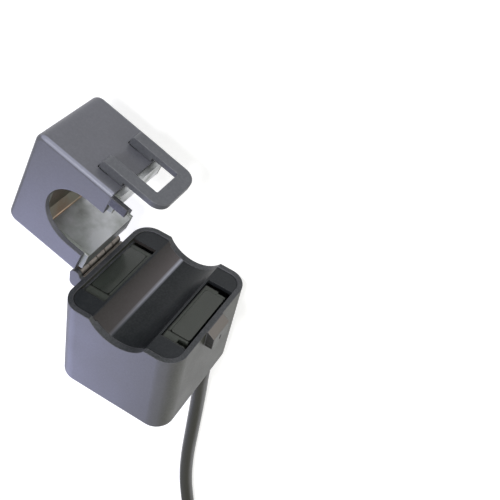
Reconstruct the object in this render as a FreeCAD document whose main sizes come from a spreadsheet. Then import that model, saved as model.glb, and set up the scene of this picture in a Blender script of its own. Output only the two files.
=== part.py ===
import FreeCAD, Part
import math
import os
import re
import Sketcher
from FreeCAD import Placement, Rotation, Vector

# Clip-on current transformer, lying on its back face with the cap swung open.
# Frame: Z runs along the conductor window from the back face to the front, Y from the base up to
# the cap of the closed transformer, X from the hinge side to the latch side. The origin is the
# window's axis in the plane of the back face. The cap and its latch are drawn closed, then turned
# about the hinge pin.

sizes = {
    # conductor window and base housing
    "window_radius": 12.0, "trough_step": 0.5, "base_width": 45.0, "base_depth": 48.5,
    "base_height": 38.2, "rim_drop": 6.8, "base_corner": 7.0, "base_wall": 2.4, "rim_wall": 1.8,
    "bottom_round": 1.2, "trough_wall": 1.6,
    "catch_width": 10.2, "catch_reach": 3.0, "catch_slope": 2.2, "catch_height": 7.2,
    "slit_width": 0.8, "slit_length": 3.0,
    # deck insert
    "deck_sink": 0.3, "deck_thick": 1.6, "deck_fit": 0.1, "slot_reach": 3.9,
    # magnetic core
    "window_margin": 0.4, "core_side": 0.5, "core_setback": 12.95, "pole_sink": 1.0, "air_gap": 0.2,
    "core_chamfer": 2.7, "core_corner": 2.0,
    "pole_corner": 1.0, "frame_inner": 1.4, "frame_near": 3.4, "frame_far": 1.8, "frame_height": 5.2, "frame_fit": 0.1,
    # bobbin and winding
    "bobbin_length": 23.0, "bobbin_wall": 0.9, "bobbin_fit": 0.1, "flange_thick": 1.2,
    "flange_reach": 3.8, "winding_thick": 2.3, "tape_thick": 0.3,
    # cap
    "cap_side": 0.3, "cap_lift": 0.9, "cap_wall": 1.3, "cap_plate": 1.7, "cap_corner": 3.5,
    "cap_round": 1.6, "tab_width": 3.3, "tab_length": 6.0, "tab_thick": 1.5, "tab_fit": 0.1,
    "spacer_thick": 1.05, "spacer_fit": 0.05, "spacer_lip": 0.3, "pad_thick": 1.7,
    # hinge
    "hinge_stand": 2.8, "hinge_rise": 0.3, "hinge_setback": 3.4, "barrel_radius": 1.9,
    "pin_radius": 0.8, "pin_fit": 0.05, "knuckle_gap": 0.2, "leaf_thick": 0.7, "base_leaf": 8.3,
    "cap_leaf": 11.0, "lug_radius": 2.0, "lug_drop": 5.5, "lug_thick": 1.5, "lug_gap": 0.2,
    "rivet_radius": 1.0, "rivet_head": 1.6, "rivet_rise": 0.6, "rivet_edge": 5.0,
    # latch bail
    "bail_gap": 0.2, "bail_thick": 2.1, "bail_arm": 3.9, "bail_play": 0.5, "bail_bar": 5.0,
    "bail_below": 0.8, "bail_rise": 3.0, "bail_corner": 4.5, "hook_height": 2.8, "hook_play": 0.5,
    "hook_inset": 0.35, "hook_bite": 0.8,
    # output cable
    "cable_size": 6.1, "cable_side": 0.55, "cable_floor": 0.15, "cable_rest": 0.05,
    "bush_wall": 0.6, "bush_fit": 0.05, "bush_inside": 1.2,
    "cable_inside": 2.5, "lead_size": 1.5, "sleeve_size": 2.2, "sleeve_length": 10.0,
    "strand_size": 0.9, "ferrule_size": 1.4, "ferrule_length": 8.0,
    "tail_length": 32.0, "strip_length": 19.0, "core_spread": 3.2, "coil_mean": 67.0, "coil_lift": 0.8,
    "coil_gap": 0.1, "tie_gap": 0.15, "tie_thick": 0.6, "tie_width": 4.0,
    # how far the cap stands open
    "open_angle": 73.3,
}

# what follows from the sizes above: each piece takes its place from what it fits
follows = {
    "trough_radius": "window_radius + trough_step",
    "core_inner": "window_radius + window_margin",
    "core_outer": "base_width / 2 - base_wall - core_side",
    "core_leg": "core_outer - core_inner",
    "core_depth": "base_depth - 2 * core_setback",
    "floor_level": "rim_drop + base_height",
    "seat_level": "floor_level - base_wall",
    "core_floor": "seat_level - flange_reach",
    "lower_window": "core_floor - core_leg",
    "pole_drop": "rim_drop + pole_sink",
    "pole_end": "pole_drop - air_gap",
    "window_inner": "core_inner - frame_inner",
    "window_length": "core_depth + 2 * slot_reach",
    "cap_width": "2 * (core_outer + cap_side + cap_wall)",
    "cap_depth": "core_depth + 2 * (spacer_thick + 2 * spacer_fit + cap_plate)",
    "yoke_top": "window_radius + core_leg",
    "cap_top": "yoke_top + pad_thick + cap_plate",
    "cap_drop": "rim_drop - cap_lift",
    "hinge_reach": "base_width / 2 + hinge_stand",
    "hinge_drop": "rim_drop - hinge_rise",
    "barrel_length": "cap_depth - 2 * hinge_setback",
    "knuckle": "barrel_length / 5",
    "lug_span": "barrel_length + 2 * lug_gap + 2 * lug_thick",
    "rivet_pitch": "barrel_length - 2 * rivet_edge",
    "rivet_low": "hinge_drop + barrel_radius + base_leaf / 2",
    "rivet_high": "cap_leaf * 0.6 + barrel_radius - hinge_drop",
    "bail_window": "catch_width + 2 * bail_play",
    "bail_drop": "rim_drop + catch_height + bail_below + bail_bar",
    "bail_face": "base_width / 2 + bail_gap",
    "bush_radius": "cable_size / 2 + bush_wall",
    "cable_across": "base_width / 2 - base_wall - bush_radius - cable_side",
    "cable_back": "base_wall + bush_radius + cable_floor",
}

doc = FreeCAD.newDocument("current_transformer")
sheet = doc.addObject("Spreadsheet::Sheet", "Sizes")
for row, (alias, number) in enumerate(sizes.items(), 1):
    sheet.set("A%d" % row, alias)
    sheet.set("B%d" % row, repr(number))
    sheet.setAlias("B%d" % row, alias)
doc.recompute()


def tied(text, here=""):
    """The expression with each name pointed at its cell or at the value that follows from the cells."""
    def place(match):
        name = match.group()
        return "Sizes." + name if name in sizes else here + name if name in follows else name
    return re.sub(r"[a-z_]+", place, text)


fits = doc.addObject("App::FeaturePython", "Fits")
for alias, text in follows.items():
    fits.addProperty("App::PropertyFloat", alias)
for alias, text in follows.items():
    fits.setExpression(alias, tied(text))
doc.recompute()


def val(alias):
    return float(sheet.get(alias)) if alias in sizes else float(getattr(fits, alias))


def drive(obj, **links):
    for prop, text in links.items():
        obj.setExpression(prop.replace("__", "."), tied(text, "Fits."))


# helpers for bodies and sketches

def new_body(name):
    body = doc.addObject("PartDesign::Body", name)
    body.Label = name
    return body


def new_sketch(body, plane, lift="0 * base_width"):
    """A sketch on one of the body's origin planes, lifted along the plane's normal."""
    sketch = body.newObject("Sketcher::SketchObject", body.Name + "_sketch")
    face = [f for f in body.Origin.OriginFeatures if f.Role == plane][0]
    sketch.AttachmentSupport = [(face, "")]
    sketch.MapMode = "FlatFace"
    sketch.setExpression("AttachmentOffset.Base.z", tied(lift, "Fits."))
    return sketch


def polygon(sketch, points):
    """A closed outline whose corners are each placed by two expressions."""
    first, count = sketch.GeometryCount, len(points)
    spots = [Vector(30 * math.cos(2 * math.pi * i / count), 30 * math.sin(2 * math.pi * i / count), 0)
             for i in range(count)]
    for i in range(count):
        sketch.addGeometry(Part.LineSegment(spots[i], spots[(i + 1) % count]), False)
    for i in range(count):
        sketch.addConstraint(Sketcher.Constraint("Coincident", first + i, 2, first + (i + 1) % count, 1))
    for i, (across, along) in enumerate(points):
        for kind, text, start in (("DistanceX", across, spots[i].x), ("DistanceY", along, spots[i].y)):
            n = sketch.addConstraint(Sketcher.Constraint(kind, -1, 1, first + i, 1, start))
            sketch.setExpression("Constraints[%d]" % n, tied(text, "Fits."))


def rectangle(sketch, left, right, low, high):
    polygon(sketch, [(left, low), (right, low), (right, high), (left, high)])


def disc(sketch, across, along, radius):
    g = sketch.addGeometry(Part.Circle(Vector(1, 1, 0), Vector(0, 0, 1), 3), False)
    n = sketch.addConstraint(Sketcher.Constraint("Radius", g, 3.0))
    sketch.setExpression("Constraints[%d]" % n, tied(radius, "Fits."))
    for kind, text in (("DistanceX", across), ("DistanceY", along)):
        n = sketch.addConstraint(Sketcher.Constraint(kind, -1, 1, g, 3, 1.0))
        sketch.setExpression("Constraints[%d]" % n, tied(text, "Fits."))


def grow(body, sketch, length, back=False, kind="Pad"):
    """Pads or pockets the sketch and checks that the solid gained or lost volume by it."""
    before = body.Shape.Volume if body.Tip else 0.0
    feature = body.newObject("PartDesign::" + kind, body.Name + "_" + kind.lower())
    feature.Profile = sketch
    feature.Reversed = back
    feature.setExpression("Length", tied(length, "Fits."))
    doc.recompute()
    change = body.Shape.Volume - before
    if (kind == "Pad") == (change <= 0):
        raise RuntimeError("%s: %s changed the volume by %.3f" % (body.Name, feature.Name, change))
    return feature


def cut(body, sketch, length, back=False):
    return grow(body, sketch, length, back, "Pocket")


def soften(body, radius, test, kind="Fillet"):
    """Rounds or bevels the edges that pass the test on their middle point and direction."""
    names = []
    for i, edge in enumerate(body.Shape.Edges, 1):
        middle = edge.valueAt((edge.FirstParameter + edge.LastParameter) / 2)
        run = edge.tangentAt((edge.FirstParameter + edge.LastParameter) / 2)
        if test(middle, run, edge):
            names.append("Edge%d" % i)
    if not names:
        raise RuntimeError("%s: no edge to soften" % body.Name)
    last = body.Tip
    feature = body.newObject("PartDesign::" + kind, body.Name + "_" + kind.lower())
    feature.Base = (last, names)
    feature.setExpression("Radius" if kind == "Fillet" else "Size", tied(radius, "Fits."))
    doc.recompute()
    if "Invalid" in feature.State:
        raise RuntimeError("%s: %s failed on %s" % (body.Name, feature.Name, names))
    return feature


def near(a, b, slack=0.02):
    return abs(a - b) < slack


def block(name, left, right, low, high, back, front):
    """A box between six planes."""
    box = doc.addObject("Part::Box", name)
    drive(box, Length="(%s) - (%s)" % (right, left), Width="(%s) - (%s)" % (high, low),
          Height="(%s) - (%s)" % (front, back))
    drive(box, Placement__Base__x=left, Placement__Base__y=low, Placement__Base__z=back)
    return box


def boolean(name, kind, a, b):
    """Part::Cut or Part::Common of two objects."""
    obj = doc.addObject("Part::" + kind, name)
    obj.Base, obj.Tool = a, b
    return obj


def joined(name, shapes, kind="MultiFuse"):
    obj = doc.addObject("Part::" + kind, name)
    if kind == "Compound":
        obj.Links = shapes
    else:
        obj.Shapes = shapes
    return obj


mid = "base_depth / 2"

# base housing: a box open at the rim, with the trough, the catch and the hinge lugs

base = new_body("base_shell")
sk = new_sketch(base, "XZ_Plane", "rim_drop")
rectangle(sk, "-base_width / 2", "base_width / 2", "0 * base_depth", "base_depth")
grow(base, sk, "base_height")

sk = new_sketch(base, "XZ_Plane", "rim_drop")
rectangle(sk, "-(base_width / 2 - base_wall)", "base_width / 2 - base_wall", "base_wall",
          "base_depth - base_wall")
cut(base, sk, "base_height - base_wall", True)
inner = val("base_width") / 2 - val("base_wall")
soften(base, "base_corner - base_wall", lambda p, t, e: abs(t.y) > 0.99 and near(abs(p.x), inner))

# land for the deck insert
sk = new_sketch(base, "XZ_Plane", "rim_drop")
rectangle(sk, "-(base_width / 2 - rim_wall)", "base_width / 2 - rim_wall", "rim_wall",
          "base_depth - rim_wall")
cut(base, sk, "deck_sink + deck_thick", True)
land = val("base_width") / 2 - val("rim_wall")
soften(base, "base_corner - rim_wall", lambda p, t, e: abs(t.y) > 0.99 and near(abs(p.x), land))
outer = val("base_width") / 2
soften(base, "base_corner", lambda p, t, e: abs(t.y) > 0.99 and near(abs(p.x), outer))
soften(base, "bottom_round", lambda p, t, e: near(p.y, -val("rim_drop") - val("base_height")))

# half-round trough through the front and back walls
sk = new_sketch(base, "XY_Plane", "base_depth")
disc(sk, "0 * base_width", "0 * base_width", "trough_radius")
cut(base, sk, "base_depth")

# seats under the two legs of the core, grown up from the floor
sk = new_sketch(base, "XZ_Plane", "seat_level")
for side in ("-1", "1"):
    rectangle(sk, side + " * (core_inner + 1)", side + " * (base_width / 2 - base_wall / 2)",
              mid + " - core_depth / 2", mid + " + core_depth / 2")
grow(base, sk, "seat_level - core_floor", True)

# catch for the latch bail: a ramp above and a flat hook below
sk = new_sketch(base, "XY_Plane", mid + " - catch_width / 2")
polygon(sk, [("base_width / 2 - base_wall / 2", "-rim_drop - 0.01"),
             ("base_width / 2", "-rim_drop - 0.01"),
             ("base_width / 2 + catch_reach", "-rim_drop - catch_slope"),
             ("base_width / 2 + catch_reach", "-rim_drop - catch_height"),
             ("base_width / 2 - base_wall / 2", "-rim_drop - catch_height")])
grow(base, sk, "catch_width")
sk = new_sketch(base, "XY_Plane", mid + " + slit_width / 2")
rectangle(sk, "base_width / 2 + catch_reach - slit_width", "base_width / 2 + catch_reach + 1",
          "-rim_drop - catch_height", "-rim_drop - catch_height + slit_length")
cut(base, sk, "slit_width")

# a D-shaped lug guards the front end of the hinge barrel
sk = new_sketch(base, "XY_Plane", mid + " - lug_span / 2")
polygon(sk, [("-(base_width / 2 - base_wall / 2)", "-hinge_drop - lug_drop"),
             ("-hinge_reach - lug_radius", "-hinge_drop - lug_drop"),
             ("-hinge_reach - lug_radius", "-hinge_drop"),
             ("-hinge_reach + lug_radius", "-hinge_drop"),
             ("-base_width / 2", "-rim_drop - 0.2"),
             ("-(base_width / 2 - base_wall / 2)", "-rim_drop - 0.2")])
grow(base, sk, "lug_span")
sk = new_sketch(base, "XY_Plane", mid + " - lug_span / 2")
disc(sk, "-hinge_reach", "-hinge_drop", "lug_radius")
grow(base, sk, "lug_span")
soften(base, "lug_radius", lambda p, t, e: abs(t.z) > 0.99
       and near(p.x, -val("hinge_reach") - val("lug_radius"))
       and near(p.y, -val("hinge_drop") - val("lug_drop")))
sk = new_sketch(base, "XY_Plane", mid + " + barrel_length / 2 + lug_gap")
rectangle(sk, "-hinge_reach - 2 * lug_radius", "-base_width / 2",
          "-hinge_drop - lug_drop - lug_radius", "-hinge_drop + 2 * lug_radius")
cut(base, sk, "lug_span")

# holes: the cable's bush through the floor and the hinge rivets through the wall
sk = new_sketch(base, "XZ_Plane", "floor_level")
disc(sk, "cable_across", "cable_back", "bush_radius + bush_fit")
cut(base, sk, "base_wall")
sk = new_sketch(base, "YZ_Plane", "-base_width / 2")
for side in ("-1", "1"):
    disc(sk, "-rivet_low", mid + " + " + side + " * rivet_pitch / 2", "rivet_radius")
cut(base, sk, "base_wall", True)

# deck insert: two end plates and the trough's own wall between them

deck = new_body("base_deck")
deck_level = "rim_drop + deck_sink"
edge = "(rim_wall + deck_fit)"
sk = new_sketch(deck, "XZ_Plane", deck_level)
rectangle(sk, "-(base_width / 2 - %s)" % edge, "base_width / 2 - " + edge, edge, "base_depth - " + edge)
grow(deck, sk, "deck_thick")
soften(deck, "base_corner - " + edge, lambda p, t, e: abs(t.y) > 0.99)
sk = new_sketch(deck, "XY_Plane", "base_wall + deck_fit")
disc(sk, "0 * base_width", "0 * base_width", "trough_radius + trough_wall")
grow(deck, sk, "base_depth - 2 * base_wall - 2 * deck_fit")
sk = new_sketch(deck, "XZ_Plane", deck_level)
rectangle(sk, "-base_width / 2", "base_width / 2", "0 * base_depth", "base_depth")
cut(deck, sk, "2 * trough_radius")
sk = new_sketch(deck, "XY_Plane", "base_depth")
disc(sk, "0 * base_width", "0 * base_width", "trough_radius")
cut(deck, sk, "base_depth")
sk = new_sketch(deck, "XZ_Plane", deck_level)
for side in ("-1", "1"):
    rectangle(sk, side + " * window_inner", side + " * base_width / 2",
              mid + " - window_length / 2", mid + " + window_length / 2")
cut(deck, sk, "trough_radius + trough_wall", True)

# lower core: a U of laminated steel standing on its seats, poles up

lower = new_body("lower_core")
sk = new_sketch(lower, "XY_Plane", mid + " - core_depth / 2")
polygon(sk, [("-core_outer", "-pole_drop"), ("-core_outer", "-core_floor"), ("core_outer", "-core_floor"),
             ("core_outer", "-pole_drop"), ("core_inner", "-pole_drop"), ("core_inner", "-lower_window"),
             ("-core_inner", "-lower_window"), ("-core_inner", "-pole_drop")])
grow(lower, sk, "core_depth")
soften(lower, "pole_corner", lambda p, t, e: abs(t.y) > 0.99)
soften(lower, "core_corner", lambda p, t, e: abs(t.z) > 0.99
       and near(p.y, -val("core_floor")))

# frames that hold the pole ends in the deck's windows, open towards the outer wall

cap_back, cap_front = "(base_depth / 2 - cap_depth / 2)", "(base_depth / 2 + cap_depth / 2)"
for side, name in ((-1, "pole_frame_hinge"), (1, "pole_frame_latch")):
    frame = new_body(name)
    sk = new_sketch(frame, "XZ_Plane", "pole_drop + frame_fit")
    s = "%d * " % side
    out, front, back = s + "core_outer", mid + " + ", mid + " - "
    wide = "(core_depth / 2 + frame_fit)"
    polygon(sk, [(s + "(window_inner + frame_fit)", back + wide + " - frame_far"),
                 (out, back + wide + " - frame_far"), (out, back + wide),
                 (s + "(core_inner - frame_fit)", back + wide), (s + "(core_inner - frame_fit)", front + wide),
                 (out, front + wide), (out, front + wide + " + frame_near"),
                 (s + "(window_inner + frame_fit)", front + wide + " + frame_near")])
    grow(frame, sk, "frame_height")
# the latch frame's bars are notched for the tabs of the closed cap
sk = new_sketch(frame, "XZ_Plane", "pole_drop + frame_fit")
for low, high in ((cap_back + " - frame_fit", cap_back + " + tab_thick + 2 * tab_fit + frame_fit"),
                  (cap_front + " - tab_thick - 2 * tab_fit - frame_fit", cap_front + " + frame_fit")):
    rectangle(sk, "cap_width / 2 - cap_wall - tab_fit - tab_width - frame_fit", "core_outer + 1", low, high)
cut(frame, sk, "cap_drop + tab_length - pole_drop", True)

# bobbin in two halves round the yoke, its winding and the tape over it

yoke_low, yoke_high = "-core_floor", "-lower_window"


def around(name, length, reach):
    """A box round the yoke, standing off it by the reach on every side."""
    return block(name, "-(%s) / 2" % length, "(%s) / 2" % length, yoke_low + " - (" + reach + ")",
                 yoke_high + " + (" + reach + ")", mid + " - core_depth / 2 - (" + reach + ")",
                 mid + " + core_depth / 2 + (" + reach + ")")


tube_out = "bobbin_fit + bobbin_wall"
spool = joined("spool", [around("spool_tube", "bobbin_length", tube_out),
                         around("spool_flanges", "bobbin_length", "flange_reach")])
well = boolean("spool_well", "Cut",
               around("well_out", "bobbin_length - 2 * flange_thick", "2 * flange_reach"),
               around("well_in", "bobbin_length", tube_out))
spool = boolean("spool_turned", "Cut", spool, well)
spool = boolean("spool_bored", "Cut", spool, around("spool_bore", "2 * bobbin_length", "bobbin_fit"))
for name, low, high in (("bobbin_rear_half", "-base_depth", mid),
                        ("bobbin_front_half", mid, "2 * base_depth")):
    side = block(name + "_side", "-base_width", "base_width", "-2 * base_height", "base_height", low, high)
    boolean(name, "Common", spool, side)
span = "bobbin_length - 2 * flange_thick"
boolean("secondary_winding", "Cut", around("winding_out", span, tube_out + " + winding_thick"),
        around("winding_in", "bobbin_length", tube_out))
boolean("winding_tape", "Cut", around("tape_out", span, tube_out + " + winding_thick + tape_thick"),
        around("tape_in", "bobbin_length", tube_out + " + winding_thick"))

# cap: a box open at its lower edge, with the round window in its front and back plates

cap = new_body("cap_shell")
sk = new_sketch(cap, "XY_Plane", cap_back)
rectangle(sk, "-cap_width / 2", "cap_width / 2", "-cap_drop", "cap_top")
grow(cap, sk, "cap_depth")
soften(cap, "cap_corner", lambda p, t, e: abs(t.z) > 0.99 and near(p.y, val("cap_top")))
soften(cap, "cap_round", lambda p, t, e: not near(p.y, -val("cap_drop")) and abs(t.z) < 0.5)
sk = new_sketch(cap, "XZ_Plane", "cap_drop")
rectangle(sk, "-(cap_width / 2 - cap_wall)", "cap_width / 2 - cap_wall", cap_back + " + cap_plate",
          cap_front + " - cap_plate")
cut(cap, sk, "cap_top + cap_drop - cap_plate")
sk = new_sketch(cap, "XY_Plane", cap_front)
disc(sk, "0 * cap_width", "0 * cap_width", "window_radius")
cut(cap, sk, "cap_depth")
sk = new_sketch(cap, "XY_Plane", cap_front)
rectangle(sk, "-window_radius", "window_radius", "-cap_drop", "0 * cap_drop")
cut(cap, sk, "cap_depth")

# tabs on the plates' lower edges at the latch, which enter the deck's window when the cap closes
sk = new_sketch(cap, "XZ_Plane", "cap_drop")
for low, high in ((cap_back + " + tab_fit", cap_back + " + tab_fit + tab_thick"),
                  (cap_front + " - tab_fit - tab_thick", cap_front + " - tab_fit")):
    rectangle(sk, "cap_width / 2 - cap_wall - tab_fit - tab_width", "cap_width / 2 - cap_wall - tab_fit",
              low, high)
grow(cap, sk, "tab_length")

# slots for the hooks of the latch bail, and the rivet holes on the hinge side
sk = new_sketch(cap, "YZ_Plane", "cap_width / 2")
for side in ("-1", "1"):
    rectangle(sk, "bail_rise - hook_height - hook_play", "bail_rise + hook_play",
              mid + " + %s * (bail_window / 2)" % side, mid + " + %s * (bail_window / 2 + bail_arm)" % side)
cut(cap, sk, "cap_wall")
sk = new_sketch(cap, "YZ_Plane", "-cap_width / 2")
for side in ("-1", "1"):
    disc(sk, "rivet_high", mid + " + " + side + " * rivet_pitch / 2", "rivet_radius")
cut(cap, sk, "cap_wall", True)

# upper core: a U hanging from the cap, with bevelled inner corners

upper = new_body("upper_core")
sk = new_sketch(upper, "XY_Plane", mid + " - core_depth / 2")
polygon(sk, [("-core_outer", "-pole_end"), ("-core_inner", "-pole_end"),
             ("-core_inner", "window_radius - core_chamfer"), ("-core_inner + core_chamfer", "window_radius"),
             ("core_inner - core_chamfer", "window_radius"), ("core_inner", "window_radius - core_chamfer"),
             ("core_inner", "-pole_end"), ("core_outer", "-pole_end"),
             ("core_outer", "yoke_top"), ("-core_outer", "yoke_top")])
grow(upper, sk, "core_depth")
soften(upper, "core_corner", lambda p, t, e: abs(t.z) > 0.99
       and near(p.y, val("yoke_top")))

# spacers between the core and the cap's plates, and the pad that presses the poles together

for name, low in (("core_spacer_rear", cap_back + " + cap_plate + spacer_fit"),
                  ("core_spacer_front", mid + " + core_depth / 2 + spacer_fit")):
    spacer = new_body(name)
    sk = new_sketch(spacer, "XY_Plane", low)
    lip = "(core_inner - spacer_lip)"
    polygon(sk, [("-core_outer", "-pole_end"), ("-" + lip, "-pole_end"),
                 ("-" + lip, "window_radius - core_chamfer"), ("-%s + core_chamfer" % lip, "window_radius"),
                 (lip + " - core_chamfer", "window_radius"), (lip, "window_radius - core_chamfer"),
                 (lip, "-pole_end"), ("core_outer", "-pole_end"),
                 ("core_outer", "yoke_top"), ("-core_outer", "yoke_top")])
    grow(spacer, sk, "spacer_thick")
    soften(spacer, "core_corner", lambda p, t, e: abs(t.z) > 0.99
           and near(p.y, val("yoke_top")))
block("pressure_pad", "-(core_outer - 2 * core_corner)", "core_outer - 2 * core_corner", "yoke_top",
      "cap_top - cap_plate", mid + " - core_depth / 2", mid + " + core_depth / 2")

# hinge: two leaves with interlocking knuckles on one pin

axis_x, axis_y = "-hinge_reach", "-hinge_drop"


def leaf(name, polygon_points, wall, own):
    """A leaf with its barrel, slotted where the other leaf's knuckles turn."""
    body = new_body(name)
    sketch = new_sketch(body, "XY_Plane", mid + " - barrel_length / 2")
    disc(sketch, axis_x, axis_y, "barrel_radius")
    grow(body, sketch, "barrel_length")
    sketch = new_sketch(body, "XY_Plane", mid + " - barrel_length / 2")
    polygon(sketch, polygon_points)
    grow(body, sketch, "barrel_length")
    sketch = new_sketch(body, "XY_Plane", mid + " + barrel_length / 2")
    disc(sketch, axis_x, axis_y, "pin_radius + pin_fit")
    cut(body, sketch, "barrel_length")
    sketch = new_sketch(body, "YZ_Plane", "-hinge_reach - barrel_radius - 0.5")
    for i in range(5):
        if i % 2 == own:
            continue
        low = "%s - barrel_length / 2 + %d * knuckle - knuckle_gap / 2" % (mid, i)
        rectangle(sketch, axis_y + " - barrel_radius - 0.5", axis_y + " + barrel_radius + 0.5",
                  low, low + " + knuckle + knuckle_gap")
    cut(body, sketch, "hinge_reach + barrel_radius + 0.5 - " + wall, True)
    return body


base_leaf_part = leaf("hinge_leaf_base", [
    (axis_x, axis_y + " - barrel_radius"), ("-base_width / 2 - leaf_thick", axis_y + " - barrel_radius"),
    ("-base_width / 2 - leaf_thick", axis_y + " - barrel_radius - base_leaf"),
    ("-base_width / 2", axis_y + " - barrel_radius - base_leaf"),
    ("-base_width / 2", "-rim_drop"), ("-base_width / 2 - leaf_thick", "-rim_drop"),
    ("-base_width / 2 - leaf_thick", axis_y + " - barrel_radius + leaf_thick"),
    (axis_x, axis_y + " - barrel_radius + leaf_thick")], "(base_width / 2 + leaf_thick)", 0)
cap_leaf_part = leaf("hinge_leaf_cap", [
    (axis_x, axis_y + " + barrel_radius"), ("-cap_width / 2 - leaf_thick", axis_y + " + barrel_radius"),
    ("-cap_width / 2 - leaf_thick", axis_y + " + barrel_radius + cap_leaf"),
    ("-cap_width / 2", axis_y + " + barrel_radius + cap_leaf"),
    ("-cap_width / 2", axis_y + " + barrel_radius - leaf_thick"),
    (axis_x, axis_y + " + barrel_radius - leaf_thick")], "(cap_width / 2 + leaf_thick)", 1)
for part, height, wall in ((base_leaf_part, "-rivet_low", "-base_width / 2"),
                           (cap_leaf_part, "rivet_high", "-cap_width / 2")):
    sk = new_sketch(part, "YZ_Plane", wall)
    for side in ("-1", "1"):
        disc(sk, height, mid + " + " + side + " * rivet_pitch / 2", "rivet_radius")
    cut(part, sk, "leaf_thick")


def rod(name, radius, length, spot, turn=None):
    """A cylinder from the spot, along Z or turned by an axis and an angle."""
    obj = doc.addObject("Part::Cylinder", name)
    if turn:
        obj.Placement = Placement(Vector(), Rotation(Vector(*turn[0]), turn[1]))
    drive(obj, Radius=radius, Height=length)
    drive(obj, Placement__Base__x=spot[0], Placement__Base__y=spot[1], Placement__Base__z=spot[2])
    return obj


rod("hinge_pin", "pin_radius", "barrel_length", (axis_x, axis_y, mid + " - barrel_length / 2"))
for name, height, face, wall in (("hinge_rivets_base", "-rivet_low", "base_width / 2", "base_wall"),
                                 ("hinge_rivets_cap", "rivet_high", "cap_width / 2", "cap_wall")):
    pair = []
    for side in ("-1", "1"):
        z = mid + " + " + side + " * rivet_pitch / 2"
        tag = name + ("_a" if side == "1" else "_b")
        shank = rod(tag + "_shank", "rivet_radius", wall + " + leaf_thick",
                    ("-(%s + leaf_thick)" % face, height, z), ((0, 1, 0), 90))
        head = rod(tag + "_head", "rivet_head", "rivet_rise",
                   ("-(%s + leaf_thick + rivet_rise)" % face, height, z), ((0, 1, 0), 90))
        pair.append(joined(tag, [shank, head]))
    joined(name, pair, "Compound")

# latch bail: a U-shaped loop hooked into the cap's wall, which springs over the catch

bail = new_body("latch_bail")
reach = "(bail_window / 2 + bail_arm)"
sk = new_sketch(bail, "YZ_Plane", "bail_face")
polygon(sk, [("bail_rise", mid + " - " + reach), ("-bail_drop", mid + " - " + reach),
             ("-bail_drop", mid + " + " + reach), ("bail_rise", mid + " + " + reach),
             ("bail_rise", mid + " + bail_window / 2"), ("-bail_drop + bail_bar", mid + " + bail_window / 2"),
             ("-bail_drop + bail_bar", mid + " - bail_window / 2"),
             ("bail_rise", mid + " - bail_window / 2")])
grow(bail, sk, "bail_thick")
soften(bail, "bail_corner", lambda p, t, e: abs(t.x) > 0.99 and near(p.y, -val("bail_drop")))
soften(bail, "bail_arm / 8", lambda p, t, e: abs(t.x) > 0.99
       and near(p.y, -val("bail_drop") + val("bail_bar")))
# the arms are thicker over the cap's wall, and a hook on each enters its slot
sk = new_sketch(bail, "YZ_Plane", "bail_face")
for side in ("-1", "1"):
    rectangle(sk, "-cap_drop + 2 * bail_gap", "bail_rise", mid + " + %s * (bail_window / 2)" % side,
              mid + " + %s * (bail_window / 2 + bail_arm)" % side)
grow(bail, sk, "bail_face - cap_width / 2 - bail_gap", True)
sk = new_sketch(bail, "YZ_Plane", "bail_face")
for side in ("-1", "1"):
    rectangle(sk, "bail_rise - hook_height", "bail_rise",
              mid + " + %s * (bail_window / 2 + hook_inset)" % side,
              mid + " + %s * (bail_window / 2 + bail_arm - hook_inset)" % side)
grow(bail, sk, "bail_face - cap_width / 2 + hook_bite", True)
soften(bail, "bail_thick * 0.7", lambda p, t, e: abs(t.z) > 0.99 and near(p.y, val("bail_rise"))
       and near(p.x, val("bail_face") + val("bail_thick")))

# bush in the floor and the cable through it

bush = new_body("cable_bush")
sk = new_sketch(bush, "XZ_Plane", "floor_level")
disc(sk, "cable_across", "cable_back", "bush_radius")
grow(bush, sk, "base_wall + bush_inside", True)
sk = new_sketch(bush, "XZ_Plane", "floor_level")
disc(sk, "cable_across", "cable_back", "cable_size / 2")
cut(bush, sk, "base_wall + bush_inside")


def route(name, points, diameter, listed=False):
    """A round tube along straight runs joined by tangent arcs, each as large as its two runs allow."""
    spots = [Vector(*p) for p in points]
    edges, start, radii = [], spots[0], []
    for a, b, c in zip(spots, spots[1:], spots[2:]):
        into, out = b - a, c - b
        shorter = min(into.Length, out.Length)
        into, out = into.normalize(), out.normalize()
        turn = math.acos(max(-1.0, min(1.0, into.dot(out))))
        trim = 0.45 * shorter
        radius = trim / math.tan(turn / 2)
        radii.append(radius)
        first, last = b - into * trim, b + out * trim
        inward = (out - into).normalize()
        apex = b + inward * (radius / math.cos(turn / 2) - radius)
        edges += [Part.LineSegment(start, first).toShape(), Part.Arc(first, apex, last).toShape()]
        start = last
    edges.append(Part.LineSegment(start, spots[-1]).toShape())
    path = Part.Wire(edges)
    section = Part.Wire(Part.makeCircle(diameter / 2, spots[0], spots[1] - spots[0]))
    obj = doc.addObject("Part::Feature", name)
    obj.Shape = path.makePipeShell([section], True, False)
    obj.Placement = Placement()
    due = math.pi * (diameter / 2) ** 2 * path.Length
    if abs(obj.Shape.Volume / due - 1) > 0.01:
        raise RuntimeError("%s: volume %.2f for %.2f" % (name, obj.Shape.Volume, due))
    if listed:
        print(name, "length %.1f, radii" % path.Length, ", ".join("%.0f" % r for r in radii))
    return obj


size = val("cable_size")
bottom = -val("floor_level")
x0, z0 = val("cable_across"), val("cable_back")
inside = bottom + val("base_wall") + val("bush_inside") + val("cable_inside")
rest = size / 2 + val("cable_rest")
route("output_cable", [(x0, inside, z0), (x0, bottom - 12, z0), (16.4, -80, rest + 0.1),
                       (17.7, -108, rest), (18.6, -129, rest), (21.0, -150, rest), (26.3, -171, rest + 0.1),
                       (33.6, -200, rest + 0.2), (38.8, -221, rest + 0.5), (43.4, -239.5, rest + 0.8)],
      size, True)

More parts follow.
